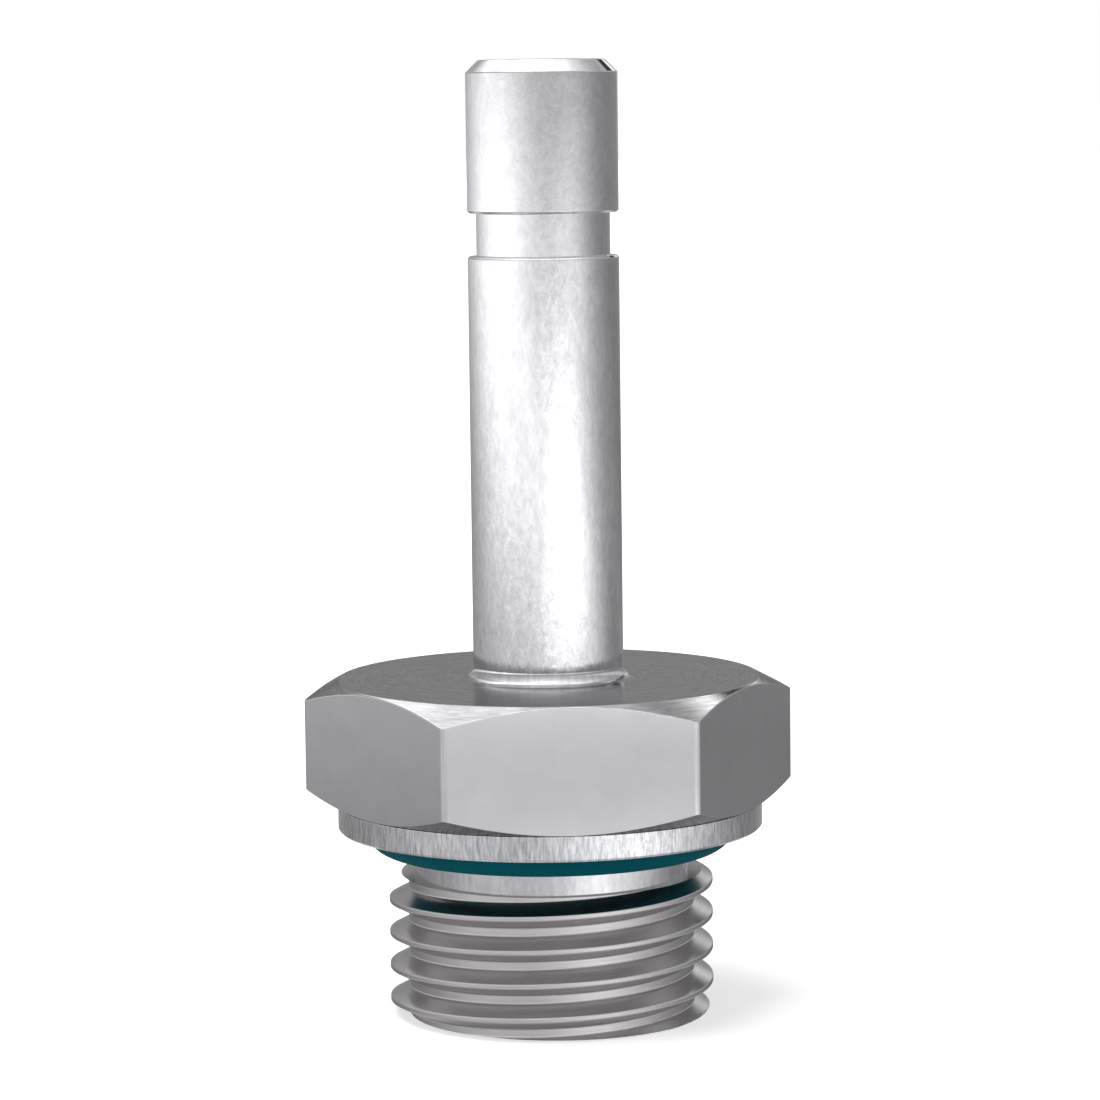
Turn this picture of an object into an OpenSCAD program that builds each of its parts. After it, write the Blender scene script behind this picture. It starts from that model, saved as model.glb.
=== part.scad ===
// Push-in stem adaptor with a hexagon, a collar with a sealing ring, and an external parallel thread.
// Two pieces: the turned stainless steel body and the elastomer sealing ring that lies in the collar.
// All sizes are in mm. The thread end stands on z = 0 and the stem points up along +Z.

// Piece to draw: all, body or seal_ring

/* [Plug-in stem] */
// Outside diameter of the stem, the same as the tube that a push-in socket grips
stem_d = 6; // [5.8:0.1:7]
// Length of the stem above the hexagon
stem_len = 24.5; // [20:0.5:32]
// Height and width of the bevel at the stem's tip
tip_chamfer = 0.5; // [0.2:0.1:0.7]
// Distance from the tip down to the retaining groove
groove_from_tip = 6; // [4:0.5:10]
// Width of the retaining groove along the stem
groove_w = 1.7; // [1:0.1:2.5]
// Depth of the retaining groove below the stem's surface
groove_depth = 0.35; // [0.2:0.05:0.5]
// Radius of the concave corner between the stem and the hexagon's top face
root_fillet = 0.5; // [0.3:0.1:1]

/* [Hexagon and collar] */
// Width across the hexagon's flats, the spanner size
hex_af = 17; // [17:0.5:20]
// Height of the hexagon with its bevelled corners
hex_h = 5; // [4:0.5:8]
// Radius of the rounding along the hexagon's six upright edges
hex_corner_r = 0.3; // [0.1:0.1:0.6]
// Slope of the bevel turned on the hexagon's corners, in degrees from the end face
hex_bevel = 28; // [20:1:35]
// Diameter of the round collar under the hexagon
collar_d = 17; // [16.6:0.1:18]
// Height of the round collar
collar_h = 1; // [0.8:0.1:2]

/* [Sealing ring and neck] */
// Diameter of the plain neck between the collar and the thread
neck_d = 11; // [10.6:0.1:11.2]
// Thickness of the sealing ring's round section
ring_section = 1.8; // [1.5:0.1:2]
// How far the sealing ring stands out below the collar before it is pressed flat
ring_proud = 0.9; // [0.5:0.05:1]

/* [Thread] */
// Outside diameter of the thread over its crests
thread_d = 13; // [12.9:0.05:13.15]
// Distance from one thread crest to the next
thread_pitch = 1.337; // [1.25:0.001:1.4]
// Height of the thread's crests above its roots
thread_depth = 0.78; // [0.7:0.01:0.86]
// Width of the flat at the thread's root
thread_root_flat = 0.34; // [0.2:0.01:0.36]
// Length of the threaded cylinder, up to the neck
thread_len = 5.6; // [4.5:0.1:6]
// Distance from the thread's end to the collar's seat
seat_height = 7.5; // [7.5:0.1:10]
// Width of the bevel at the thread's end
end_chamfer = 0.25; // [0.1:0.05:0.6]

/* [Bore] */
// Diameter of the bore that runs through the whole body
bore_d = 4; // [3:0.1:4.2]
// Width of the bevel at both mouths of the bore
bore_chamfer = 0.2; // [0.1:0.05:0.3]

/* [Hidden] */
// Small amount by which joined shapes run into each other and cuts run past a face
lap = 0.1;
// Width of the broken edges at the groove and the collar
edge_break = 0.08;
// Facets of large and small round shapes
round_facets = 72;
small_facets = 24;
// Sides of the hexagon, the angle between them and the flats that stand for the rounding of each corner
hex_sides = 6;
hex_angle = 360 / hex_sides;
corner_steps = 4;

stem_r = stem_d / 2;
groove_r = stem_r - groove_depth;
collar_r = collar_d / 2;
neck_r = neck_d / 2;
thread_r = thread_d / 2;
bore_r = bore_d / 2;

// Heights of the faces, from the thread's end upwards
hex_z0 = seat_height + collar_h;
hex_z1 = hex_z0 + hex_h;
tip_z = hex_z1 + stem_len;
groove_z1 = tip_z - groove_from_tip;
groove_z0 = groove_z1 - groove_w;

// The bevel circle on the hexagon's end faces lies a little inside the flats
bevel_inset = 0.08;
hex_apothem = hex_af / 2;
bevel_r = hex_apothem - bevel_inset;
// Centre of each upright edge's rounding, and a radius that is outside every corner
corner_centre_r = (hex_apothem - hex_corner_r) / cos(hex_angle / 2);
outside_r = hex_apothem / cos(hex_angle / 2) + lap;
bevel_rise = (outside_r - bevel_r) * tan(hex_bevel);

// The ring lies on the neck with a little play, and its gland is as wide as the ring and twice that play
ring_play = 0.1;
section_r = ring_section / 2;
ring_centre_r = neck_r + ring_play + section_r;
gland_r = ring_centre_r + section_r + ring_play;
gland_depth = ring_section - ring_proud;
gland_z = seat_height + gland_depth;

// Helical groove that leaves the thread: trapezoid section with flanks at half of 55 degrees
flank_angle = 27.5;
root_r = thread_r - thread_depth;
cut_margin = 0.1;
cut_top_r = thread_r + cut_margin;
root_half = thread_root_flat / 2;
top_half = root_half + (thread_depth + cut_margin) * tan(flank_angle);
steps_per_turn = 40;
// The lowest crest passes this direction, in degrees from +X, at this height above the thread's end
crest_direction = 177.5;
crest_height = 0.61;
// The groove's middle starts clear below the end face and leaves the cylinder inside the neck's space
cut_z0 = -top_half - 2 * lap;
cut_z1 = thread_len + top_half + lap;
cut_turns = (cut_z1 - cut_z0) / thread_pitch;
cut_steps = ceil(cut_turns * steps_per_turn);
groove_middle_offset = crest_height - thread_pitch / 2;
cut_angle0 = crest_direction + 360 * (cut_z0 - groove_middle_offset) / thread_pitch;

// Corners of the groove's section as [radius, height from its middle]
cut_section = [
    [root_r, -root_half],
    [cut_top_r, -top_half],
    [cut_top_r, top_half],
    [root_r, root_half]
];
section_points = len(cut_section);

// Point on the rounding of the corner that stands in a direction, at a turn from the corner's middle
function bar_point(direction, turn) = [
    corner_centre_r * cos(direction) + hex_corner_r * cos(direction + turn),
    corner_centre_r * sin(direction) + hex_corner_r * sin(direction + turn)
];

// Point k of the groove's section at step i along the helix
function cut_point(i, k) =
    let (
        turn = i / steps_per_turn,
        angle = cut_angle0 + 360 * turn,
        r = cut_section[k][0],
        z = cut_z0 + thread_pitch * turn + cut_section[k][1]
    )
    [r * cos(angle), r * sin(angle), z];

// Number of that point in the list of all points
function cut_index(i, k) = section_points * i + k % section_points;

// Right-hand helical bar that is cut out of the threaded cylinder
module thread_groove() {
    points = [
        for (i = [0:cut_steps])
            for (k = [0:section_points - 1])
                cut_point(i, k)
    ];
    lower_sides = [
        for (i = [0:cut_steps - 1])
            for (k = [0:section_points - 1])
                [cut_index(i, k), cut_index(i, k + 1), cut_index(i + 1, k + 1)]
    ];
    upper_sides = [
        for (i = [0:cut_steps - 1])
            for (k = [0:section_points - 1])
                [cut_index(i, k), cut_index(i + 1, k + 1), cut_index(i + 1, k)]
    ];
    start_cap = [[0, 2, 1], [0, 3, 2]];
    last = section_points * cut_steps;
    end_cap = [[last, last + 1, last + 2], [last, last + 2, last + 3]];
    polyhedron(points = points, faces = concat(lower_sides, upper_sides, start_cap, end_cap));
}

// Threaded cylinder, neck, ring gland and collar, turned in one set-up
module lower_turning() {
    rotate_extrude($fn = round_facets)
        polygon([
            [0, 0],
            [thread_r - end_chamfer, 0],
            [thread_r, end_chamfer],
            [thread_r, thread_len],
            [neck_r, thread_len],
            [neck_r, gland_z],
            [gland_r, gland_z],
            [gland_r, seat_height],
            [collar_r - edge_break, seat_height],
            [collar_r, seat_height + edge_break],
            [collar_r, hex_z0],
            [neck_r, hex_z0],
            [neck_r, hex_z0 + lap],
            [0, hex_z0 + lap]
        ]);
}

// Outline of the bar that the body is turned from: a hexagon with rounded corners
module bar_outline() {
    polygon([
        for (side = [0:hex_sides - 1])
            for (k = [0:corner_steps])
                bar_point(side * hex_angle, (k / corner_steps - 0.5) * hex_angle)
    ]);
}

// Hexagon with the corners bevelled at both ends
module hexagon() {
    intersection() {
        translate([0, 0, hex_z0])
            linear_extrude(height = hex_h)
                bar_outline();
        rotate_extrude($fn = round_facets)
            polygon([
                [0, hex_z0],
                [bevel_r, hex_z0],
                [outside_r, hex_z0 + bevel_rise],
                [outside_r, hex_z1 - bevel_rise],
                [bevel_r, hex_z1],
                [0, hex_z1]
            ]);
    }
}

// Plug-in stem with its concave root, retaining groove and bevelled tip
module stem() {
    rotate_extrude($fn = round_facets)
        difference() {
            polygon([
                [0, hex_z1 - lap],
                [stem_r + root_fillet, hex_z1 - lap],
                [stem_r + root_fillet, hex_z1 + root_fillet],
                [stem_r, hex_z1 + root_fillet],
                [stem_r, tip_z - tip_chamfer],
                [stem_r - tip_chamfer, tip_z],
                [0, tip_z]
            ]);
            translate([stem_r + root_fillet, hex_z1 + root_fillet])
                circle(r = root_fillet, $fn = small_facets);
            polygon([
                [groove_r, groove_z0],
                [stem_r - edge_break, groove_z0],
                [stem_r + edge_break, groove_z0 - 2 * edge_break],
                [stem_r + edge_break, groove_z1 + 2 * edge_break],
                [stem_r - edge_break, groove_z1],
                [groove_r, groove_z1]
            ]);
        }
}

// Straight bore with a small bevel at each mouth
module through_bore() {
    mouth_r = bore_r + bore_chamfer;
    translate([0, 0, -lap])
        cylinder(r = bore_r, h = tip_z + 2 * lap, $fn = round_facets);
    translate([0, 0, -lap])
        cylinder(r1 = mouth_r + lap, r2 = bore_r, h = bore_chamfer + lap, $fn = round_facets);
    translate([0, 0, tip_z - bore_chamfer])
        cylinder(r1 = bore_r, r2 = mouth_r + lap, h = bore_chamfer + lap, $fn = round_facets);
}

// Body: one piece turned from hexagonal stainless steel bar
module body() {
    color([0.62, 0.62, 0.64])
        difference() {
            union() {
                lower_turning();
                hexagon();
                stem();
            }
            through_bore();
            thread_groove();
        }
}

// Sealing ring: a round-section elastomer ring that lies in the gland under the collar
module seal_ring() {
    color([0, 0.27, 0.29])
        translate([0, 0, gland_z - section_r])
            rotate_extrude($fn = round_facets)
                translate([ring_centre_r, 0])
                    circle(r = section_r, $fn = small_facets);
}

body();
seal_ring();
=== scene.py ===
import math

import bmesh
import bpy
import numpy as np
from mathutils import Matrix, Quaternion


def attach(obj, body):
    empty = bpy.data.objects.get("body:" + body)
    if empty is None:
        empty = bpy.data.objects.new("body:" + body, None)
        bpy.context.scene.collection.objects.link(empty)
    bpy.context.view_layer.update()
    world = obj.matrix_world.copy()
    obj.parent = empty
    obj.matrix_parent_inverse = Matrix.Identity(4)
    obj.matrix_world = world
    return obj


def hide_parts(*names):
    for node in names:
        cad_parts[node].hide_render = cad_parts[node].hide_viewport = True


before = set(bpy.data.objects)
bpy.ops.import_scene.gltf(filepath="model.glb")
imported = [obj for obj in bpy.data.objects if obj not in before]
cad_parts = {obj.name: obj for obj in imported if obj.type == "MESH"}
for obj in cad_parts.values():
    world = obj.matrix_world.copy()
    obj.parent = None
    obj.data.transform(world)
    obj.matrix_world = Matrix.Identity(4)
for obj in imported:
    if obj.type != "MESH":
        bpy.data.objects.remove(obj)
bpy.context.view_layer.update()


# ---------------------------------------------------------------- body
# The adaptor's body is one piece, turned from 17 mm hexagonal bar of stainless steel: a plug-in stem with a
# retaining groove, the hexagon with bevelled corners, a round collar with the ring's gland in its underside,
# a plain neck and a right-hand pipe thread. A bore runs through it. It stands on the thread's end face.

# Sizes in mm. A name that ends in _r is a distance from the axis
bore_r, bore_mouth = 2.0, 0.2
tip_z, tip_bevel, stem_r = 38.0, 0.5, 3.0
groove_r, groove_top, groove_foot, edge_break = 2.65, 32.0, 30.3, 0.08
root_fillet = 0.5
hex_top, hex_foot, hex_flat_r, hex_rounding = 13.5, 8.5, 8.5, 0.3
upper_bevel_r, lower_bevel_r, bevel_slope = 8.42, 8.46, math.tan(math.radians(28))
collar_r, seat_z = 8.5, 7.5
gland_r, gland_z, neck_r = 7.5, 8.4, 5.5
thread_top, crest_r, thread_depth, pitch, root_flat = 5.6, 6.5, 0.78, 1.337, 0.34
flank_slope, end_bevel = math.tan(math.radians(27.5)), 0.25
# The lowest crest passes this direction, in degrees from +X, at this height
crest_direction, crest_height = 177.5, 0.61


def soften(corners, roundings, margin=0.01):
    """Profile with rounded corners, for any number of profiles at once. The roundings are a radius and a number
    of steps for each corner between the two ends. The corner becomes a circular arc between its two tangent
    points, (1-t)^2 A + 2 t (1-t) w P + t^2 B over the sum of the weights, with w the cosine of half the turn.
    One more point lies the margin outside each tangent point and keeps the flats flat."""
    parts = [corners[:, :1]]
    for k, (radius, n) in enumerate(roundings, start=1):
        p = corners[:, k]
        back, ahead = corners[:, k - 1] - p, corners[:, k + 1] - p
        back = back / np.linalg.norm(back, axis=1, keepdims=True)
        ahead = ahead / np.linalg.norm(ahead, axis=1, keepdims=True)
        half_turn = 0.5 * np.arccos(np.clip(-(back * ahead).sum(1), -1, 1))[:, None]
        reach = radius * np.tan(half_turn)
        a, b = (p + back * reach)[:, None], (p + ahead * reach)[:, None]
        t = np.linspace(0, 1, n + 1)[None, :, None]
        w = np.cos(half_turn)[:, None] if radius else 1.0
        arc = (1 - t) ** 2 * a + 2 * t * (1 - t) * w * p[:, None] + t**2 * b
        arc = arc / ((1 - t) ** 2 + 2 * t * (1 - t) * w + t**2)
        parts += [a + (back * margin)[:, None], arc, b + (ahead * margin)[:, None]]
    return np.concatenate(parts + [corners[:, -1:]], axis=1)


def turned(radius, height, angle):
    """Surface of revolution: the point (r cos a, r sin a, z) for each profile row and each column angle a."""
    return np.stack([radius * np.cos(angle), radius * np.sin(angle), height + 0 * angle], axis=-1)


def strip_faces(grid, first):
    """Four-sided faces between neighbouring rows and columns of a grid, with its points numbered from first."""
    n_rows, n_columns = grid.shape[:2]
    corner = first + np.arange(n_rows * n_columns).reshape(n_rows, n_columns)
    around = [corner[:-1, :-1], corner[1:, :-1], corner[1:, 1:], corner[:-1, 1:]]
    return np.stack(around, axis=-1).reshape(-1, 4)


def closed_mesh(name, grids, sharp_angle):
    """Mesh object in metres of several grids in mm whose edges meet: the points are merged where they coincide,
    the faces are turned outwards, and edges that bend more than sharp_angle degrees stay sharp."""
    merge_distance = 4e-7
    faces, first = [], 0
    for grid in grids:
        faces.append(strip_faces(grid, first))
        first += grid.shape[0] * grid.shape[1]
    points = np.concatenate([grid.reshape(-1, 3) for grid in grids]) * 0.001
    mesh = bpy.data.meshes.new(name)
    mesh.from_pydata(points, [], np.concatenate(faces))
    work = bmesh.new()
    work.from_mesh(mesh)
    bmesh.ops.remove_doubles(work, verts=work.verts, dist=merge_distance)
    bmesh.ops.recalc_face_normals(work, faces=work.faces)
    work.to_mesh(mesh)
    work.free()
    mesh.shade_smooth()
    mesh.set_sharp_from_angle(angle=math.radians(sharp_angle))
    piece = bpy.data.objects.new(name, mesh)
    bpy.context.scene.collection.objects.link(piece)
    return piece


def off_corner(direction):
    """Angle between a direction and the hexagon's nearest upright edge, both in degrees. The edges stand at
    every 60 degrees from +X."""
    return np.abs((direction + 30) % 60 - 30)


# Columns: one every column_step degrees, but none of these within edge_zone of an upright edge of the hexagon.
# There they follow the edge's rounding, whose centre lies at corner_centre_r, and one more lies outside_step
# beyond each of its ends
column_step, edge_zone, outside_step = 1.5, 1.2, 0.09
corner_centre_r = (hex_flat_r - hex_rounding) / math.cos(math.radians(30))
turn = np.radians(np.linspace(0, 30, 6))
close = np.arctan2(hex_rounding * np.sin(turn), corner_centre_r + hex_rounding * np.cos(turn))
close = np.degrees(close)
close = np.concatenate([close, [close[-1] + outside_step]])
close = np.unique(np.concatenate([-close, close]))
even = np.arange(0, 360, column_step)
even = even[off_corner(even) > edge_zone]
angles = np.concatenate([even, ((np.arange(0, 360, 60)[:, None] + close) % 360).ravel(), [360.0]])
angles = np.radians(np.unique(np.round(angles, 6)))

# Distance of the hexagon's outline from the axis at each column: flat / cos(angle from the flat's middle), and
# on the rounded edge the far crossing of the ray with the rounding's circle
from_edge = off_corner(np.degrees(angles))
flat_r = hex_flat_r / np.cos(np.radians(30 - from_edge))
sine = corner_centre_r * np.sin(np.radians(from_edge))
round_r = corner_centre_r * np.cos(np.radians(from_edge)) + np.sqrt(np.maximum(hex_rounding**2 - sine**2, 0))
outline_r = np.where(from_edge < close[-2] - 1e-6, round_r, flat_r)

# Corners of the turned profile, from the bore's upper mouth outwards and down to the thread: distance from the
# axis, height, radius of the rounding and the number of steps that it is made in. The hexagon's two outer
# corners follow its outline, so their places change from column to column. The two ends have no rounding
upper_edge_z = hex_top - (outline_r - upper_bevel_r) * bevel_slope
lower_edge_z = hex_foot + (outline_r - lower_bevel_r) * bevel_slope
profile = [
    (bore_r, tip_z - bore_mouth, 0, 0),
    (bore_r + bore_mouth, tip_z, 0.02, 2),
    (stem_r - tip_bevel, tip_z, 0.14, 5),
    (stem_r, tip_z - tip_bevel, 0.05, 3),
    (stem_r, groove_top + edge_break, 0.02, 2),
    (stem_r - edge_break, groove_top, 0.02, 2),
    (groove_r, groove_top, 0.02, 4),
    (groove_r, groove_foot, 0.03, 4),
    (stem_r - edge_break, groove_foot, 0.02, 2),
    (stem_r, groove_foot - edge_break, 0.02, 2),
    (stem_r, hex_top, root_fillet, 12),
    (upper_bevel_r, hex_top, 0.06, 2),
    (outline_r, upper_edge_z, 0.05, 4),
    (outline_r, lower_edge_z, 0.012, 4),
    (lower_bevel_r, hex_foot, 0, 1),
    (collar_r, hex_foot, 0.012, 4),
    (collar_r, seat_z + edge_break, 0.012, 2),
    (collar_r - edge_break, seat_z, 0.02, 2),
    (gland_r, seat_z, 0.03, 4),
    (gland_r, gland_z, 0.06, 4),
    (neck_r, gland_z, 0.08, 4),
    (neck_r, thread_top, 0, 0),
]
corners = np.zeros((len(angles), len(profile), 2))
for k, place in enumerate(profile):
    corners[:, k, 0], corners[:, k, 1] = place[:2]
rounded = soften(corners, [place[2:] for place in profile[1:-1]])
upper = turned(rounded[:, :, 0].T, rounded[:, :, 1].T, angles)

# One pitch of the thread's profile, as radius over the distance along the axis from the crest: crest flat,
# flanks at half of 55 degrees and root flat, with the four corners rounded
root_r = crest_r - thread_depth
root_edge = (pitch - root_flat) / 2
crest_edge = root_edge - thread_depth * flank_slope
tooth_corners = np.array([[
    (-pitch / 2, root_r), (-root_edge, root_r), (-crest_edge, crest_r),
    (crest_edge, crest_r), (root_edge, root_r), (pitch / 2, root_r),
]])
tooth = soften(tooth_corners, [(0.06, 3), (0.05, 3), (0.05, 3), (0.06, 3)])[0]
crest_at_zero = crest_height - pitch * crest_direction / 360
climb = pitch * angles / (2 * math.pi) + crest_at_zero


def thread_radius(height):
    """Thread's radius at a height for each column: the one-pitch profile, read at the height above the helix
    that climbs one pitch in a turn."""
    return np.interp(height - climb, tooth[:, 0], tooth[:, 1], period=pitch)


# The thread's rows follow the helix, and are held between the shoulder and the low band. The low band has
# level rows, where the end's bevel cuts the thread. Both meet at low_band
low_band = 0.3
turns = np.arange(math.ceil(thread_top / pitch) + 1, -3, -1)
start = (turns[:, None] * pitch + tooth[::-1][None, :-1, 0]).ravel()
height = np.clip(start[:, None] + climb, low_band, thread_top)
helix = turned(thread_radius(height), height, angles)
level = np.concatenate([np.linspace(low_band, end_bevel, 3), np.linspace(end_bevel, 0, 16)[1:]])[:, None]
low_r = np.minimum(thread_radius(level + 0 * angles), crest_r - end_bevel + level)
low = turned(low_r, level, angles)

# Shoulder above the thread, end face below it, and the bore. Each has a row close to its edges, which keeps it
# flat or straight
share = np.array([0, 0.03, 0.5, 0.97, 1])[:, None]
shoulder_r = neck_r + share * (thread_radius(thread_top + 0 * angles) - neck_r)
shoulder = turned(shoulder_r, thread_top + 0 * share, angles)
mouth_r = bore_r + bore_mouth
end_r = low_r[-1] + np.array([0, 0.01, 0.99, 1])[:, None] * (mouth_r - low_r[-1])
end_face = turned(end_r, 0 * end_r[:, :1], angles)
bore_top, bore_row, bore_middle = tip_z - bore_mouth, 0.02, 19.0
bore_z = np.array([0, bore_mouth, bore_mouth + bore_row, bore_middle, bore_top - bore_row, bore_top])[:, None]
bore_row_r = np.array([mouth_r, bore_r, bore_r, bore_r, bore_r, bore_r])[:, None]
bore = turned(bore_row_r + 0 * angles, bore_z, angles)

body = closed_mesh("body_turned", [upper, shoulder, helix, low, end_face, bore], sharp_angle=24)


def node(tree, kind, inputs=None, **settings):
    """Adds a node with its settings and the values or links of its inputs, and returns it."""
    made = tree.nodes.new(kind)
    for key, value in settings.items():
        setattr(made, key, value)
    for key, value in (inputs or {}).items():
        if isinstance(value, bpy.types.NodeSocket):
            tree.links.new(value, made.inputs[key])
        else:
            made.inputs[key].default_value = value
    return made


def tool_marks_group():
    """Grain that a tool leaves on turned steel, from noise in coordinates round the axis: the direction from
    the axis times Around, the height times Along and the radius times Across. Large Around and small Along give
    upright streaks, and the reverse gives rings. Swirl bends the grain. Mask is a much coarser pattern."""
    tree = bpy.data.node_groups.new("tool_marks", "ShaderNodeTree")
    for name in ("Around", "Along", "Across", "Fineness", "Swirl"):
        tree.interface.new_socket(name, in_out="INPUT", socket_type="NodeSocketFloat")
    for name in ("Height", "Mask"):
        tree.interface.new_socket(name, in_out="OUTPUT", socket_type="NodeSocketFloat")
    given = tree.nodes.new("NodeGroupInput").outputs
    place = node(tree, "ShaderNodeTexCoord").outputs["Object"]
    xyz = node(tree, "ShaderNodeSeparateXYZ", {0: place}).outputs
    flat = node(tree, "ShaderNodeCombineXYZ", {"X": xyz["X"], "Y": xyz["Y"]}).outputs[0]
    radius = node(tree, "ShaderNodeVectorMath", {0: flat}, operation="LENGTH").outputs["Value"]
    away = node(tree, "ShaderNodeVectorMath", {0: flat}, operation="NORMALIZE").outputs[0]
    round_axis = node(tree, "ShaderNodeVectorMath", {0: away, "Scale": given["Around"]}, operation="SCALE")
    up = node(tree, "ShaderNodeMath", {0: xyz["Z"], 1: given["Along"]}, operation="MULTIPLY").outputs[0]
    lift = node(tree, "ShaderNodeCombineXYZ", {"Z": up}).outputs[0]
    where = node(tree, "ShaderNodeVectorMath", {0: round_axis.outputs[0], 1: lift}, operation="ADD").outputs[0]
    out = node(tree, "ShaderNodeMath", {0: radius, 1: given["Across"]}, operation="MULTIPLY").outputs[0]
    grain = {"Vector": where, "W": out, "Scale": 1.0, "Detail": given["Fineness"], "Roughness": 0.55,
             "Distortion": given["Swirl"]}
    grain = node(tree, "ShaderNodeTexNoise", grain, noise_dimensions="4D").outputs[0]
    smudge = {"Vector": where, "W": out, "Scale": 0.12, "Detail": 2.0, "Roughness": 0.5}
    smudge = node(tree, "ShaderNodeTexNoise", smudge, noise_dimensions="4D").outputs[0]
    sent = tree.nodes.new("NodeGroupOutput").inputs
    tree.links.new(grain, sent["Height"])
    tree.links.new(smudge, sent["Mask"])
    return tree


tool_marks = tool_marks_group()

# Nearly all of the noise lies between these two values
noise_low, noise_high = 0.3, 0.7


def turned_steel(name, marks, depth, roughness, tone, tint=(1.0, 0.997, 1.035), grazing=1.0):
    """Stainless steel with tool marks, given as the inputs of tool_marks: the marks' height in mm is in the
    normal, and their coarse pattern moves the roughness between its two values and their fine one the grey
    tone. A grazing value below 1 is for a duller surface, which mirrors less when it is seen at a low angle."""
    material = bpy.data.materials.new(name)
    material.use_nodes = True
    tree = material.node_tree
    shader = tree.nodes["Principled BSDF"]
    grain = tree.nodes.new("ShaderNodeGroup")
    grain.node_tree = tool_marks
    for key, value in zip(("Around", "Along", "Across", "Fineness", "Swirl"), marks):
        grain.inputs[key].default_value = value
    bump = {"Height": grain.outputs["Height"], "Strength": 1.0, "Distance": depth * 0.001}
    bump = node(tree, "ShaderNodeBump", bump)
    spread = {"Value": grain.outputs["Mask"], "From Min": noise_low, "From Max": noise_high}
    gloss = node(tree, "ShaderNodeMapRange", {**spread, "To Min": roughness[0], "To Max": roughness[1]})
    ramp = node(tree, "ShaderNodeValToRGB", {"Fac": grain.outputs["Height"]})
    for end, stop, value in zip(ramp.color_ramp.elements, (noise_low, noise_high), tone):
        end.position, end.color = stop, (*(value * part for part in tint), 1)
    tree.links.new(bump.outputs["Normal"], shader.inputs["Normal"])
    tree.links.new(gloss.outputs["Result"], shader.inputs["Roughness"])
    tree.links.new(ramp.outputs["Color"], shader.inputs["Base Color"])
    shader.inputs["Metallic"].default_value = 1.0
    shader.inputs["Specular Tint"].default_value = (grazing, grazing, grazing, 1)
    return material


# The stem and the neck carry upright wisps, the stem's head coarser swirls, and the collar strong short upright
# scratches. The hexagon's end face and bevels carry turned rings, and its flats, which are as drawn, are nearly
# smooth. The end face's darker grey tone, and the weaker gloss of the end face and bevels at low angles, are
# partly their finish and partly painted shade. The thread and the bore carry the fine rings of their cutting
# tools. Each row holds the five inputs of tool_marks, the marks' height in mm, and the least and the most
# roughness and grey tone
finishes = [
    turned_steel("steel_stem", (17, 1700, 500, 4, 0.4), 0.0042, (0.08, 0.14), (0.56, 0.73)),
    # The bevels' weaker gloss at low angles is partly their finish and partly painted shade
    turned_steel("steel_bevels_with_painted_shade", (12, 3000, 8000, 3, 0.4), 0.0008, (0.12, 0.18), (0.52, 0.80),
                 tint=(1, 0.997, 1.02), grazing=0.48),
    turned_steel("steel_flats", (6, 700, 500, 3, 0.5), 0.0006, (0.07, 0.10), (0.63, 0.67)),
    turned_steel("steel_collar", (90, 1700, 500, 3, 0.3), 0.0080, (0.10, 0.16), (0.42, 0.84),
                 tint=(1, 1, 1.05)),
    turned_steel("steel_thread", (3, 9000, 3000, 2, 0.0), 0.0003, (0.20, 0.26), (0.59, 0.65),
                 tint=(1.01, 0.98, 0.995), grazing=0.75),
    turned_steel("steel_bore", (8, 9000, 500, 2, 0.0), 0.0010, (0.25, 0.35), (0.50, 0.60)),
    turned_steel("steel_head", (11, 2000, 500, 4, 0.7), 0.0022, (0.08, 0.14), (0.62, 0.75)),
    # The end face's grey tone, darker than the flats', and its weaker gloss at low angles are partly painted
    # shade
    turned_steel("steel_faced_with_painted_shade", (8, 3000, 7000, 3, 0.2), 0.0006, (0.18, 0.24), (0.38, 0.60),
                 tint=(1, 0.997, 1.02), grazing=0.66),
    turned_steel("steel_neck", (24, 1500, 500, 3, 0.3), 0.0040, (0.12, 0.18), (0.55, 0.70),
                 tint=(1, 1, 1.04)),
]
for finish in finishes:
    body.data.materials.append(finish)
on_stem, on_bevels_with_painted_shade, on_flats, on_collar, on_thread, in_bore, on_head, on_faced_with_painted_shade, on_neck = range(len(finishes))

# Each face gets its finish from where its middle lies and how far its normal points up or down, which is 1 on a
# level face. The foot of the stem's fillet is cut with the hexagon's upper end face and carries its finish,
# with that finish's painted shade. A later line goes over an earlier one
slack, head_foot = 0.001, groove_foot + 0.01
level_steep, foot_steep, bevel_steep = 0.99, 0.8, 0.3
n_faces = len(body.data.polygons)
middle, points_to = np.zeros(3 * n_faces), np.zeros(3 * n_faces)
body.data.polygons.foreach_get("center", middle)
body.data.polygons.foreach_get("normal", points_to)
middle, points_to = middle.reshape(-1, 3) * 1000, points_to.reshape(-1, 3)
from_axis, level_z, steep = np.hypot(middle[:, 0], middle[:, 1]), middle[:, 2], np.abs(points_to[:, 2])
below_hexagon, above_thread = level_z <= hex_foot + slack, level_z > thread_top
bore_wall = from_axis < bore_r + slack
hexagon = ~below_hexagon & (level_z < hex_top + slack) & (from_axis > stem_r)
fillet_foot = (level_z > hex_top) & (level_z < hex_top + root_fillet) & (steep > foot_steep)
sides = np.where(steep > bevel_steep, on_bevels_with_painted_shade, on_flats)
finish_of = np.full(n_faces, on_stem, np.int32)
finish_of[hexagon] = np.where(steep > level_steep, on_faced_with_painted_shade, sides)[hexagon]
finish_of[fillet_foot] = on_faced_with_painted_shade
finish_of[below_hexagon & above_thread] = on_collar
finish_of[(from_axis < gland_r) & (level_z < hex_foot) & above_thread] = on_neck
finish_of[level_z <= thread_top + slack] = on_thread
finish_of[bore_wall] = in_bore
finish_of[(level_z > head_foot) & ~bore_wall] = on_head
body.data.polygons.foreach_set("material_index", finish_of)

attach(body, "root")
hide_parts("body")


# ---------------------------------------------------------------- seal ring
# A moulded ring of teal elastomer with a round section. It lies on the neck, in the gland in the collar's
# underside, and stands out of it until the port's rim presses it flat.

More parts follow.
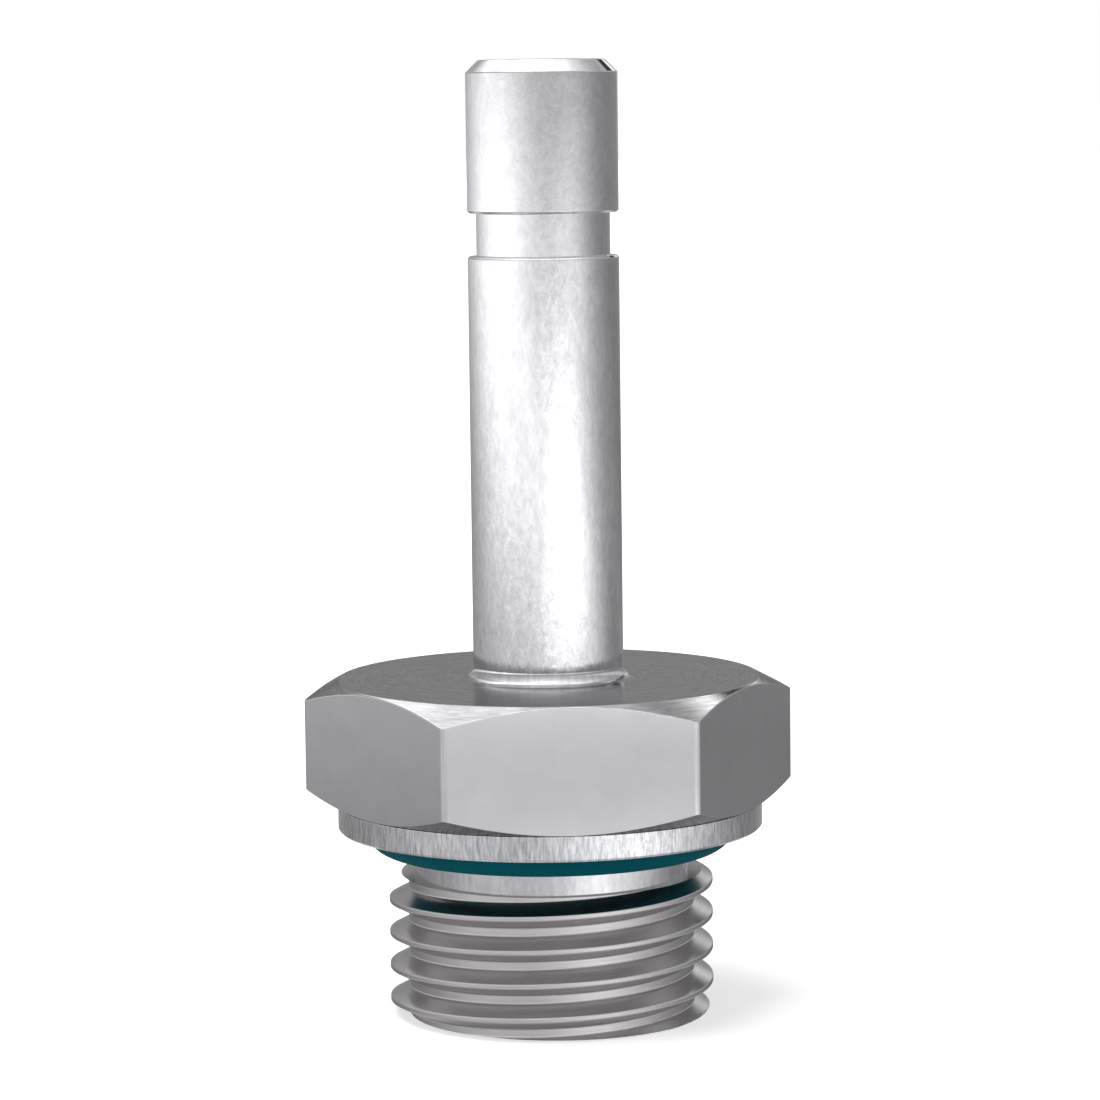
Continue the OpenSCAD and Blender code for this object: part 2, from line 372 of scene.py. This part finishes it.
ring_section_r, ring_play = 0.9, 0.1
section_points, round_points = 49, 289
ring_centre_r = neck_r + ring_play + ring_section_r
ring_z = gland_z - ring_section_r
round_section = np.linspace(0, -2 * math.pi, section_points)[:, None]
round_ring = np.linspace(0, 2 * math.pi, round_points)
ring_r = ring_centre_r + ring_section_r * np.cos(round_section) + 0 * round_ring
ring_grid = turned(ring_r, ring_z + ring_section_r * np.sin(round_section), round_ring)
seal_ring = closed_mesh("seal_ring_moulded", [ring_grid], sharp_angle=60)

rubber = bpy.data.materials.new("teal_elastomer")
rubber.use_nodes = True
tree = rubber.node_tree
shader = tree.nodes["Principled BSDF"]
place = node(tree, "ShaderNodeTexCoord").outputs["Object"]
cloud = node(tree, "ShaderNodeTexNoise", {"Vector": place, "Scale": 900.0, "Detail": 4.0}).outputs[0]
pores = node(tree, "ShaderNodeTexNoise", {"Vector": place, "Scale": 9000.0, "Detail": 2.0}).outputs[0]
tone = node(tree, "ShaderNodeValToRGB", {"Fac": cloud})
tone.color_ramp.elements[0].color = (0.000, 0.070, 0.090, 1)
tone.color_ramp.elements[1].color = (0.000, 0.086, 0.110, 1)
shader.inputs["Specular IOR Level"].default_value = 0.03
bump = node(tree, "ShaderNodeBump", {"Height": pores, "Strength": 1.0, "Distance": 0.000002})
gloss = node(tree, "ShaderNodeMapRange", {"Value": cloud, "To Min": 0.55, "To Max": 0.65})
tree.links.new(tone.outputs["Color"], shader.inputs["Base Color"])
tree.links.new(bump.outputs["Normal"], shader.inputs["Normal"])
tree.links.new(gloss.outputs["Result"], shader.inputs["Roughness"])
seal_ring.data.materials.append(rubber)

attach(seal_ring, "root")
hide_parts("seal_ring")


# ---------------------------------------------------------------- camera
# The photograph's view: from 161 mm away, a little left of square to a flat, and looking slightly down.
# Lengths are in mm, angles in degrees, and the focal length is in the photograph's pixels.

camera_azimuth, camera_distance, camera_height = 5.494, 161.44, 36.18
look_down, look_right, lean = 6.2245, 0.0426, 0.697
focal_pixels, photo_pixels, sensor_width = 4072.8, 1100, 36

eye = bpy.data.cameras.new("camera")
eye.lens, eye.sensor_width = focal_pixels / photo_pixels * sensor_width, sensor_width
eye.clip_start, eye.clip_end = 0.01, 50
camera = bpy.data.objects.new("camera", eye)
side = math.radians(camera_azimuth)
standing = [-camera_distance * math.sin(side), -camera_distance * math.cos(side), camera_height]
camera.location = np.array(standing) / 1000
camera.rotation_euler = (math.radians(90 - look_down), 0, -side - math.radians(look_right))
bpy.context.scene.collection.objects.link(camera)
bpy.context.view_layer.update()
roll = Quaternion((0, 0, 1), -math.radians(lean))
camera.rotation_mode = "QUATERNION"
camera.rotation_quaternion = camera.matrix_world.to_quaternion() @ roll
bpy.context.scene.camera = camera


# ---------------------------------------------------------------- floor, tent and lamps
# A pale floor, a round light tent whose soft panels show only in the gloss of the steel, and one soft lamp.
# The floor and the world look white to the camera and light the part with less.

floor_r = np.array([0.0, 0.02, 0.05, 0.1, 0.3, 1.0, 2.6])[:, None] * 1000
floor_drop = 0.02
floor_grid = turned(floor_r + 0 * round_ring, 0 * floor_r - floor_drop, round_ring)
floor = closed_mesh("floor", [floor_grid], sharp_angle=30)
if floor.data.polygons[0].normal.z < 0:
    floor.data.flip_normals()
paper = bpy.data.materials.new("floor_paper")
paper.use_nodes = True
tree = paper.node_tree
tree.nodes.remove(tree.nodes["Principled BSDF"])
seen = node(tree, "ShaderNodeLightPath").outputs["Is Camera Ray"]
matte = node(tree, "ShaderNodeBsdfDiffuse", {"Color": (0.8, 0.8, 0.8, 1)})
place = node(tree, "ShaderNodeTexCoord").outputs["Object"]
distance = node(tree, "ShaderNodeVectorMath", {0: place}, operation="LENGTH").outputs["Value"]
# The paper's own glow is weaker close to the part, where the soft shadow shows
glow_range = {"From Min": 0.03, "From Max": 0.2, "To Min": 0.5, "To Max": 1.0}
glow_share = node(tree, "ShaderNodeMapRange", {"Value": distance, **glow_range}).outputs[0]
own = node(tree, "ShaderNodeMath", {0: seen, 1: glow_share}, operation="MULTIPLY").outputs[0]
glow = node(tree, "ShaderNodeEmission", {"Color": (1, 1, 1, 1), "Strength": own})
both = node(tree, "ShaderNodeAddShader", {0: matte.outputs[0], 1: glow.outputs[0]})
tree.links.new(both.outputs[0], tree.nodes["Material Output"].inputs["Surface"])
floor.data.materials.append(paper)
floor.visible_glossy = False

# The tent's radius in metres, the glow of its plain cloth, and the least that a black strip leaves of it
tent_radius, cloth_glow, darkest = 3, 0.071, 0.02
# Soft panels of the tent, as bands near the horizon: direction round the object from the camera's side,
# positive to the right of the picture, and height above the horizon, half width and half height, strength, and
# the most that the band leans up a quarter turn away. Angles are in degrees, and a negative strength is a
# black strip
bands = [
    (-72, -2.0, 65, 4.7, 1.63, -1.3),
    (-51, -13.2, 137, 2.7, 0.24, -5.2),
    (-14, -8.7, 116, 2.0, 0.27, 5.3),
    (32, -5.9, 45, 2.0, 1.80, -0.9),
    (42, -2.1, 34, 2.8, 0.69, 0.6),
    (45, -11.0, 44, 2.0, 1.72, 1.2),
    (117, 15.2, 79, 8.5, 0.48, -1.3),
    (-75, -28.5, 698, 8.6, 0.60, -0.3),
    (110, -72.1, 362, 27.2, 0.65, 2.4),
    (-5, 66.2, 126, 55.0, 1.07, 1.8),
    (0, 67.0, 70, 11.0, 0.50, 0.0),
    (-60, -9.3, 20, 0.8, 0.35, 0.0),
    (58, -9.4, 22, 0.8, -0.90, 0.0),
    (58, -10.9, 38, 0.8, 0.38, 0.0),
]
# Panels overhead, in the tent's plan with the radius as 1: place to the right and towards the camera, half
# width and half depth, and strength, where a negative one is a black flag
overhead = [
    (-0.08, -0.15, 0.46, 0.23, 1.65),
    (-0.40, -0.53, 0.09, 0.16, 3.00),
    (0.32, -0.69, 0.09, 0.05, 1.65),
    (-0.19, -0.48, 0.12, 0.14, 0.45),
    (-0.31, -0.73, 0.07, 0.08, 0.65),
    (0.34, -0.80, 0.09, 0.05, -1.60),
    (0.24, -0.56, 0.10, 0.07, -0.25),
    (0.26, -0.905, 0.06, 0.035, 1.00),
]
tent_rise = np.radians(np.linspace(90, -90, 61))[:, None]
tent_columns = round_ring[::4]
tent_r = tent_radius * 1000 * np.cos(tent_rise) + 0 * tent_columns
tent_grid = turned(tent_r, tent_radius * 1000 * np.sin(tent_rise), tent_columns)
tent = closed_mesh("light_tent", [tent_grid], sharp_angle=180)
cloth = bpy.data.materials.new("tent_cloth")
cloth.use_nodes = True
tree = cloth.node_tree
tree.nodes.remove(tree.nodes["Principled BSDF"])


def math_node(operation, *values):
    """One Math node of the tree that is being made, with its values or links in order. Returns its output."""
    return node(tree, "ShaderNodeMath", dict(enumerate(values)), operation=operation).outputs[0]


def soft_edge(across, above):
    """Light of a soft panel as a share of its middle's: exp(-(across^2 + above^2)), with both 1 at its edge."""
    fall = math_node("MULTIPLY_ADD", above, above, math_node("MULTIPLY", across, across))
    return math_node("EXPONENT", math_node("MULTIPLY", fall, -1.0))


place = node(tree, "ShaderNodeTexCoord").outputs["Object"]
to_camera = (0, 0, math.radians(90 + camera_azimuth))
facing = {"Vector": place, "Rotation": to_camera, "Scale": (1 / tent_radius,) * 3}
facing = node(tree, "ShaderNodeMapping", facing).outputs[0]
near, right, high = node(tree, "ShaderNodeSeparateXYZ", {0: facing}).outputs
round_angle = math_node("ARCTAN2", right, near)
rise_angle = math_node("DEGREES", math_node("ARCSINE", high))
total = cloth_glow
for azimuth, rise, half_width, half_height, strength, lean_up in bands:
    apart = math_node("SUBTRACT", round_angle, math.radians(azimuth))
    half_sine = math_node("SINE", math_node("MULTIPLY", apart, 0.5))
    across = math_node("MULTIPLY", half_sine, 2 / math.radians(half_width))
    above = math_node("SUBTRACT", rise_angle, rise)
    above = math_node("MULTIPLY_ADD", math_node("SINE", apart), -lean_up, above)
    above = math_node("MULTIPLY", above, 1 / half_height)
    total = math_node("MULTIPLY_ADD", soft_edge(across, above), strength, total)
upper_half = math_node("GREATER_THAN", high, 0.0)
for x, y, half_width, half_depth, strength in overhead:
    across = math_node("MULTIPLY", math_node("SUBTRACT", right, x), 1 / half_width)
    deep = math_node("MULTIPLY", math_node("SUBTRACT", near, y), 1 / half_depth)
    panel = math_node("MULTIPLY", soft_edge(across, deep), upper_half)
    total = math_node("MULTIPLY_ADD", panel, strength, total)
total = math_node("MAXIMUM", total, darkest)
glow = node(tree, "ShaderNodeEmission", {"Color": (1, 1, 1, 1), "Strength": total})
tree.links.new(glow.outputs[0], tree.nodes["Material Output"].inputs["Surface"])
cloth.cycles.emission_sampling = "NONE"
tent.data.materials.append(cloth)
tent.visible_camera = tent.visible_diffuse = tent.visible_shadow = tent.visible_transmission = False

world = bpy.data.worlds.new("studio")
bpy.context.scene.world = world
world.use_nodes = True
tree = world.node_tree
path = node(tree, "ShaderNodeLightPath").outputs
shown = math_node("MAXIMUM", path["Is Camera Ray"], path["Is Glossy Ray"])
shown = math_node("MAXIMUM", shown, path["Is Transmission Ray"])
strength = node(tree, "ShaderNodeMapRange", {"Value": shown, "To Min": 0.5, "To Max": 1.0}).outputs["Result"]
sky = tree.nodes["Background"]
sky.inputs["Color"].default_value = (1, 1, 1, 1)
tree.links.new(strength, sky.inputs["Strength"])

lamp = bpy.data.lights.new("soft_lamp", "AREA")
lamp.shape, lamp.size, lamp.energy = "DISK", 0.35, 2.2
lamp_object = bpy.data.objects.new("soft_lamp", lamp)
lamp_object.location = (-0.12, -0.1, 0.5)
lamp_object.rotation_euler = (math.radians(-11), math.radians(-13), 0)
lamp_object.visible_glossy = False
bpy.context.scene.collection.objects.link(lamp_object)

bpy.context.scene.view_settings.view_transform = "Standard"
